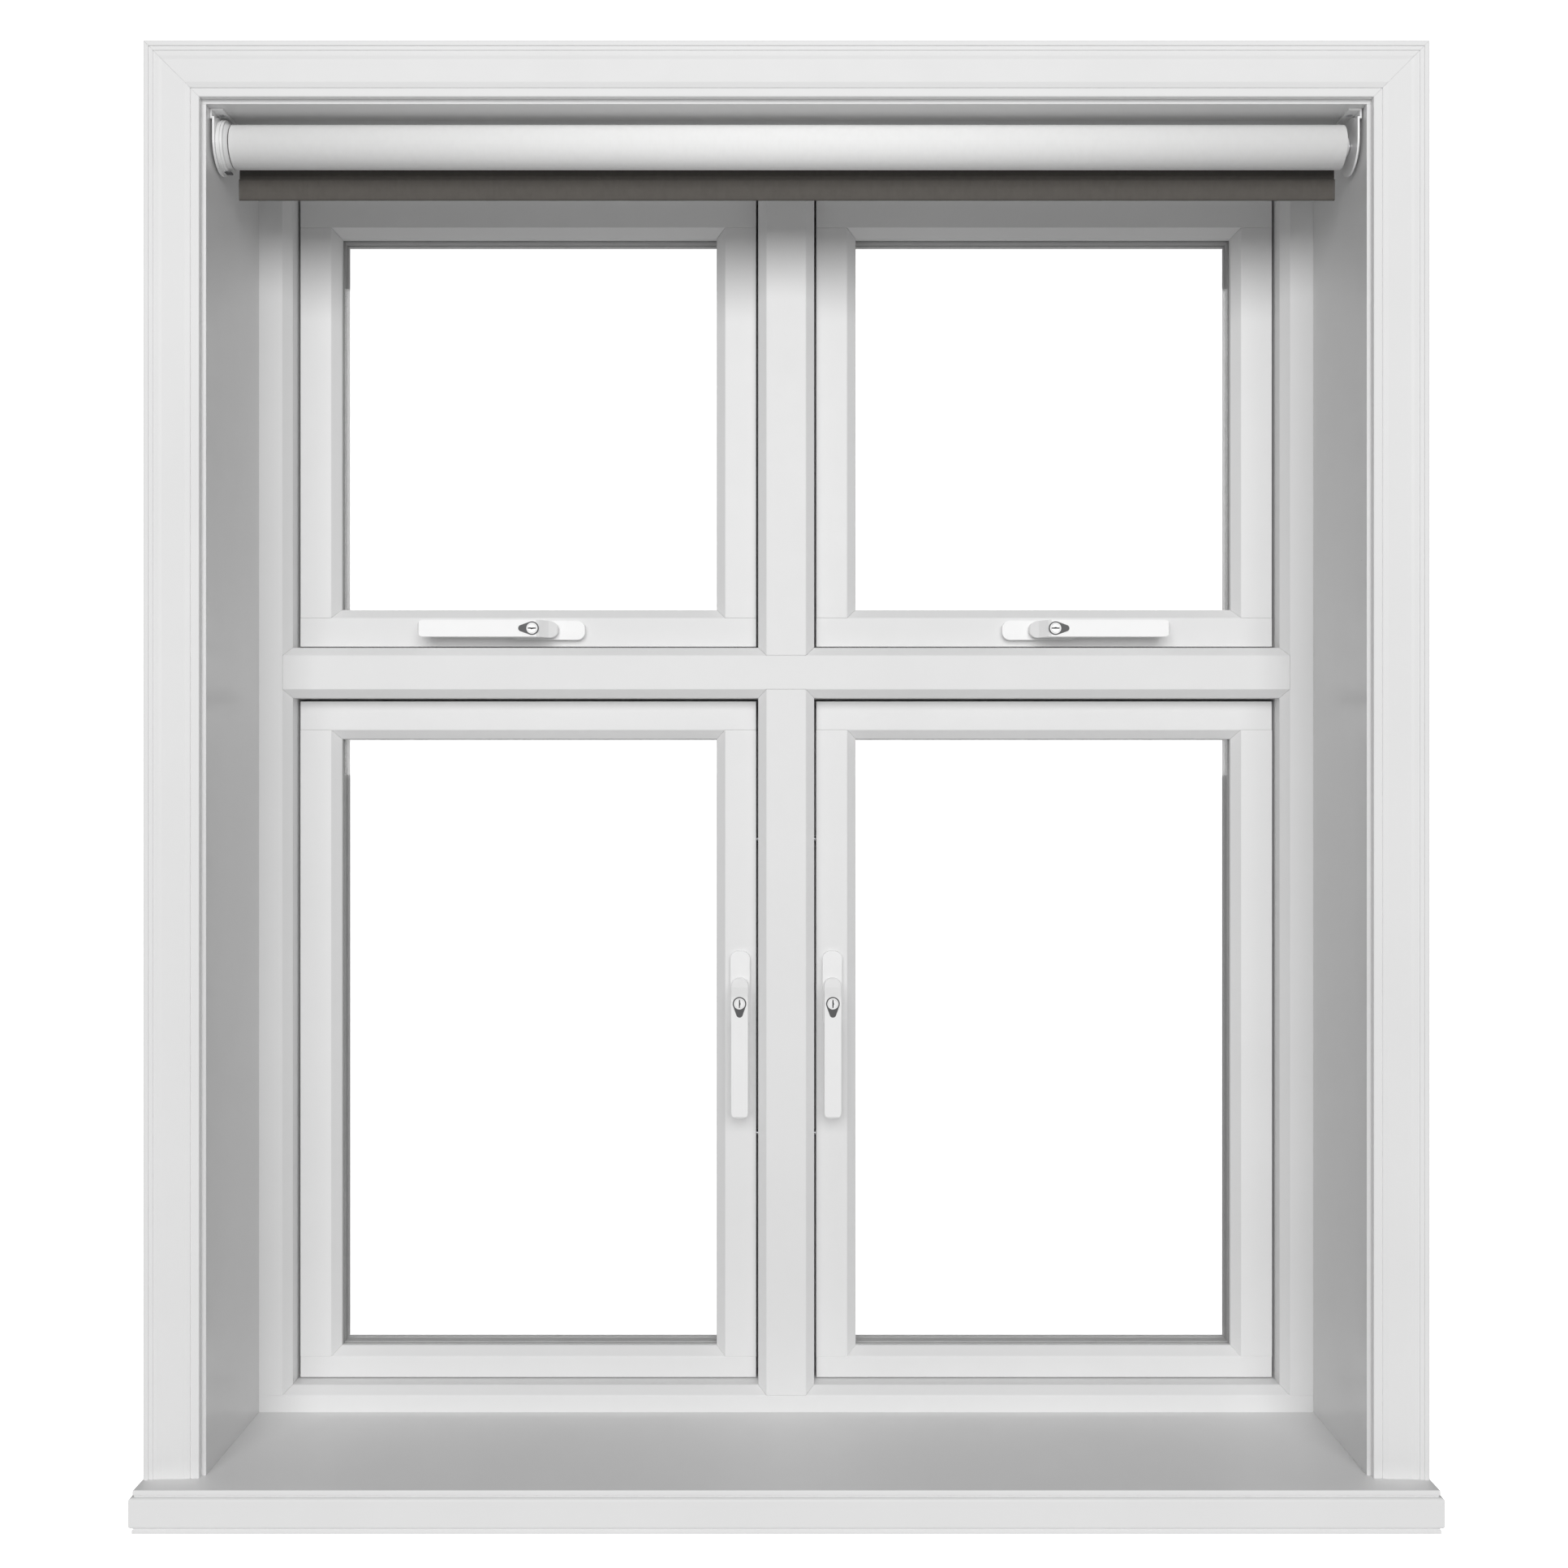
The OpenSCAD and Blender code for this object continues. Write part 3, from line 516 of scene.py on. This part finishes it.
def hinge_screws():
    """Three countersunk screws in each hinge leaf, on the side away from the knuckle."""
    frame_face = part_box("frame_head")[1].y
    leaf = 2.0 * MM
    pitch = 24.0 * MM
    bm = bmesh.new()
    for lo, hi in islands("frame_hinge_leaves"):
        mid = (lo + hi) / 2
        flat = hi.x - lo.x > hi.z - lo.z
        for k in (-1, 0, 1):
            stagger = 8 * MM if k else 13 * MM
            x = mid.x + k * pitch if flat else (lo.x + stagger if mid.x < 0 else hi.x - stagger)
            z = hi.z - stagger if flat else mid.z + k * pitch
            add_screw(bm, (x, frame_face + leaf, z), (0, 1, 0), HINGE_SCREW_R, random.uniform(0, SCREW_TURN))
    piece("frame_leaf_screws", bm, BRIGHT, "root")
    for sash in SASHES:
        bm = bmesh.new()
        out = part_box(f"{sash}_rails")[1].y
        for lo, hi in islands(f"{sash}_sash_hardware"):
            if hi.y < out:
                continue
            mid = (lo + hi) / 2
            flat = hi.x - lo.x > hi.z - lo.z
            for k in (-1, 0, 1):
                stagger = 9 * MM if k else 16 * MM
                x = mid.x + k * pitch if flat else (hi.x - stagger if mid.x < 0 else lo.x + stagger)
                z = lo.z + stagger if flat else mid.z + k * pitch
                add_screw(bm, (x, hi.y, z), (0, 1, 0), HINGE_SCREW_R, random.uniform(0, SCREW_TURN))
        piece(f"{sash}_leaf_screws", bm, BRIGHT, f"{sash}_sash")


def faceplate_screws():
    """Screws through each espagnolette faceplate into the sash's locking edge."""
    for sash in SASHES:
        lo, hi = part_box(f"{sash}_sash_hardware")
        rod_lo, rod_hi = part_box(f"{sash}_espag_rod")
        spindle = centre(f"{sash}_handle_base")
        mid_y = (rod_lo.y + rod_hi.y) / 2
        bm = bmesh.new()
        for offset in (-180, -95, 95, 180):
            if sash.startswith("upper"):
                at, out = (spindle.x + offset * MM, mid_y, lo.z), (0, 0, -1)
            else:
                left = sash.endswith("left")
                at = (hi.x if left else lo.x, mid_y, spindle.z + offset * MM)
                out = (1 if left else -1, 0, 0)
            add_screw(bm, at, out, FACEPLATE_SCREW_R, random.uniform(0, SCREW_TURN))
        piece(f"{sash}_faceplate_screws", bm, BRIGHT, f"{sash}_sash")


hinge_screws()
faceplate_screws()


# ---------------------------------------------------------------- roller blind

FABRIC_T = 0.38 * MM
TURN_PITCH = 0.42 * MM       # each turn of cloth with a little air
STEPS_PER_TURN = 56
roll_lo, roll_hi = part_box("blind_fabric_roll")
ROLL_AXIS = (roll_lo + roll_hi) / 2
ROLL_R = (roll_hi.z - roll_lo.z) / 2
TUBE_R = (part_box("blind_roller_tube")[1].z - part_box("blind_roller_tube")[0].z) / 2


def add_strip(bm, path, x0, x1, rows):
    """A strip of cloth along x that follows path, a list of (y, z, normal y, normal z, thickness).
    Its inner side, against the normal, has its first material and its outer side the second."""
    face_index, back_index = 0, 1
    xs = [x0 + (x1 - x0) * k / rows for k in range(rows + 1)]
    inner = [[bm.verts.new((x, y, z)) for x in xs] for y, z, ny, nz, t in path]
    outer = [[bm.verts.new((x, y + ny * t, z + nz * t)) for x in xs] for y, z, ny, nz, t in path]
    for a, b, index in ((inner, inner, face_index), (outer, outer, back_index)):
        for i in range(len(path) - 1):
            for k in range(rows):
                face = bm.faces.new((a[i][k], a[i + 1][k], b[i + 1][k + 1], b[i][k + 1]))
                face.material_index = index
    for i in range(len(path) - 1):
        for k in (0, rows):
            side = bm.faces.new((inner[i][k], inner[i + 1][k], outer[i + 1][k], outer[i][k]))
            side.material_index = face_index
    for i in (0, len(path) - 1):
        for k in range(rows):
            end = bm.faces.new((inner[i][k], inner[i][k + 1], outer[i][k + 1], outer[i][k]))
            end.material_index = back_index


def fabric_roll():
    """The wound fabric as one real spiral, backing outwards."""
    turns = (ROLL_R - TUBE_R - FABRIC_T) / TURN_PITCH
    steps = int(turns * STEPS_PER_TURN)
    path, length = [], 0.0
    for k in range(steps + 1):
        angle = -2 * math.pi * turns * (1 - k / steps)
        radius = TUBE_R + (ROLL_R - TUBE_R - FABRIC_T) * k / steps
        ny, nz = math.cos(angle), math.sin(angle)
        path.append((ROLL_AXIS.y + radius * ny, ROLL_AXIS.z + radius * nz, ny, nz, FABRIC_T))
        length += 2 * math.pi * turns / steps * radius if k else 0.0
    bm = bmesh.new()
    add_strip(bm, path, roll_lo.x, roll_hi.x, rows=1)
    roll = piece("blind_wound_fabric", bm, [FACE, BACKING], "blind_roller", smooth=True)
    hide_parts("blind_fabric_roll")


def hanging_fabric():
    """The free drop: it leaves the back of the roll, and its dark face looks into the room."""
    lo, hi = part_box("blind_fabric")
    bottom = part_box("blind_hem_bar")[1].z - 1.0 * MM
    rows = 40
    wrap = math.radians(70)
    path = []
    for k in range(rows + 1):
        path.append((lo.y, bottom + (ROLL_AXIS.z - bottom) * k / rows, 1.0, 0.0, FABRIC_T))
    reach = lo.y - ROLL_AXIS.y
    for k in range(1, 13):
        angle = wrap * k / 12
        radius = reach - (reach - ROLL_R) * k / 12 + 0.02 * MM
        path.append((ROLL_AXIS.y + radius * math.cos(angle), ROLL_AXIS.z + radius * math.sin(angle),
                     math.cos(angle), math.sin(angle), FABRIC_T * (1 - 0.9 * k / 12)))
    bm = bmesh.new()
    add_strip(bm, path, lo.x, hi.x, rows=8)
    drop = piece("blind_hanging_fabric", bm, [FACE, BACKING], None, smooth=True)
    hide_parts("blind_fabric")
    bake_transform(drop)


def hem_details():
    """The pocket's stitched line and the moulded caps in the bar's two ends."""
    lo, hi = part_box("blind_hem_bar")
    mid_y = (lo.y + hi.y) / 2
    half_t = (hi.y - lo.y) / 2
    cap_out, cap_t = 0.3 * MM, 1.6 * MM
    bm = bmesh.new()
    for x, side in ((lo.x, -1), (hi.x, 1)):
        outline = []
        radius = half_t + 0.05 * MM
        for centre_z, start in ((hi.z - half_t, 0.0), (lo.z + half_t, math.pi)):
            outline += [(mid_y + radius * math.cos(start + math.pi * k / 10),
                         centre_z + radius * math.sin(start + math.pi * k / 10)) for k in range(11)]
        add_prism(bm, outline,
                  lambda u, v, d, x=x, side=side: Vector((x + side * (cap_out - d), u, v)), cap_t)
    piece("blind_hem_caps", bm, CAP, "blind_hem", 0.2 * MM)
    bm = bmesh.new()
    stitch, gap, thread = 2.6 * MM, 1.0 * MM, 0.16 * MM
    z = hi.z - 2.0 * MM
    count = int((hi.x - lo.x - 6 * MM) / (stitch + gap))
    for k in range(count):
        x = lo.x + 3 * MM + k * (stitch + gap)
        add_box(bm, (x, lo.y - thread, z - thread), (x + stitch, lo.y + thread, z + thread))
    piece("blind_hem_stitches", bm, FACE, "blind_hem")


def bracket_screws():
    """Two screws up through each bracket's top flange, and the collar round the idle pin."""
    bm = bmesh.new()
    for lo, hi in islands("blind_brackets"):
        left = lo.x < 0
        x = lo.x + 7.2 * MM if left else hi.x - 7.2 * MM
        for y in (lo.y + 14 * MM, hi.y - 14 * MM):
            add_screw(bm, (x, y, hi.z - 1.8 * MM), (0, 0, -1), BRACKET_SCREW_R, random.uniform(0, SCREW_TURN))
    piece("blind_bracket_screws", bm, BRIGHT, "root")
    bm = bmesh.new()
    tube_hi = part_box("blind_roller_tube")[1].x
    collar = [(5.6 * MM, 0), (8.5 * MM, 0), (9.0 * MM, 0.4 * MM), (9.0 * MM, 1.4 * MM), (8.2 * MM, 2.0 * MM),
              (5.6 * MM, 2.0 * MM), (5.6 * MM, 0)]
    add_lathe(bm, collar, (tube_hi - 3.6 * MM, ROLL_AXIS.y, ROLL_AXIS.z), (1, 0, 0), 40)
    piece("blind_idle_collar", bm, PLASTIC, "blind_roller")


def drive_details():
    """The clutch housing's raised rim, and a dark chain outlet at its foot, on the side next to the bracket's
    edge.
    """
    lo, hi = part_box("blind_drive_housing")
    radius = (hi.z - lo.z) / 2
    groove = 2.4 * MM
    bm = bmesh.new()
    foot_r, crest_r = radius + 0.1 * MM, radius + 0.5 * MM
    rim = [(foot_r, 2.0 * MM), (crest_r, 2.4 * MM), (crest_r, 2.4 * MM + groove / 2),
           (foot_r, 2.8 * MM + groove / 2), (radius - 0.5 * MM, 2.8 * MM), (foot_r, 2.0 * MM)]
    add_lathe(bm, rim, (lo.x, ROLL_AXIS.y, ROLL_AXIS.z), (1, 0, 0), 72)
    piece("blind_drive_rim", bm, PLASTIC, "root", smooth=True)
    bm = bmesh.new()
    foot = ROLL_AXIS.z - radius
    add_box(bm, (lo.x + 2.6 * MM, ROLL_AXIS.y - 4 * MM, foot - 0.9 * MM),
            (lo.x + 4.6 * MM, ROLL_AXIS.y + 4 * MM, foot + 2.0 * MM))
    add_box(bm, (lo.x + 4.6 * MM, ROLL_AXIS.y - 4 * MM, foot - 0.9 * MM),
            (lo.x + 8.6 * MM, ROLL_AXIS.y + 4 * MM, foot + 0.4 * MM))
    piece("blind_chain_outlet", bm, BEZEL, "root", 0.3 * MM)


fabric_roll()
hanging_fabric()
hem_details()
bracket_screws()
drive_details()


# ---------------------------------------------------------------- studio

SEEN_WHITE = 1.5      # bright enough to stay white through both panes


def studio():
    """White surroundings that light the room side from the front and a little from above."""
    world = bpy.data.worlds.new("studio")
    bpy.context.scene.world = world
    world.use_nodes = True
    tree = world.node_tree
    tree.nodes.clear()
    coord = node(tree, "ShaderNodeTexCoord")
    split = node(tree, "ShaderNodeSeparateXYZ")
    tree.links.new(coord.outputs["Generated"], split.inputs["Vector"])
    front = node(tree, "ShaderNodeMapRange",
                 {"From Min": 0.35, "From Max": -0.25, "To Min": 0.3, "To Max": 0.4},
                 interpolation_type="SMOOTHSTEP")
    tree.links.new(split.outputs["Y"], front.inputs["Value"])
    height = node(tree, "ShaderNodeMapRange",
                  {"From Min": -1.0, "From Max": 1.0, "To Min": 1.0, "To Max": 0.62})
    tree.links.new(split.outputs["Z"], height.inputs["Value"])
    product = node(tree, "ShaderNodeMath", operation="MULTIPLY")
    tree.links.new(front.outputs["Result"], product.inputs[0])
    tree.links.new(height.outputs["Result"], product.inputs[1])
    lit = node(tree, "ShaderNodeBackground")
    tree.links.new(product.outputs["Value"], lit.inputs["Strength"])
    seen = node(tree, "ShaderNodeBackground", {"Color": (1, 1, 1, 1), "Strength": SEEN_WHITE})
    path = node(tree, "ShaderNodeLightPath")
    mix = node(tree, "ShaderNodeMixShader")
    out = node(tree, "ShaderNodeOutputWorld")
    tree.links.new(path.outputs["Is Camera Ray"], mix.inputs["Fac"])
    tree.links.new(lit.outputs["Background"], mix.inputs[1])
    tree.links.new(seen.outputs["Background"], mix.inputs[2])
    tree.links.new(mix.outputs["Shader"], out.inputs["Surface"])


def floor():
    """A plain pale floor, a sill's height below the window."""
    size, drop = 1.6, 0.9
    mesh = bpy.data.meshes.new("floor")
    mesh.from_pydata([(-size, -size, -drop), (size, -size, -drop), (size, size, -drop), (-size, size, -drop)],
                     [], [(0, 1, 2, 3)])
    obj = bpy.data.objects.new("floor", mesh)
    bpy.context.scene.collection.objects.link(obj)
    mat, _, shader = new_material("floor_pale")
    shader.inputs["Base Color"].default_value = (0.85, 0.85, 0.85, 1)
    shader.inputs["Roughness"].default_value = 0.9
    shader.inputs["Emission Color"].default_value = (1, 1, 1, 1)
    shader.inputs["Emission Strength"].default_value = 0.25
    mesh.materials.append(mat)


def lamp(name, at, aim, size, watts):
    data = bpy.data.lights.new(name, "AREA")
    data.shape = "RECTANGLE"
    data.size, data.size_y = size
    data.energy = watts
    obj = bpy.data.objects.new(name, data)
    bpy.context.scene.collection.objects.link(obj)
    obj.location = at
    obj.rotation_euler = (Vector(aim) - Vector(at)).to_track_quat("-Z", "Z").to_euler()


CAMERA_X = -2.2 * MM
CAMERA_Z = 650.7 * MM
CAMERA_TO_FRAME = 1795 * MM
CAMERA_LENS = 41.37          # focal length in mm on a 36 mm wide sensor


def camera():
    data = bpy.data.cameras.new("camera")
    data.lens = CAMERA_LENS
    data.sensor_width = 36.0
    obj = bpy.data.objects.new("camera", data)
    bpy.context.scene.collection.objects.link(obj)
    obj.location = (CAMERA_X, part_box("frame_head")[0].y - CAMERA_TO_FRAME, CAMERA_Z)
    obj.rotation_euler = (math.pi / 2, 0, 0)
    bpy.context.scene.camera = obj


studio()
lamp("key", at=(0.0, -8.0, 3.0), aim=(0.0, 0.0, 0.6), size=(6.5, 4.8), watts=475.0)
floor()
camera()
bpy.context.scene.view_settings.view_transform = "Standard"
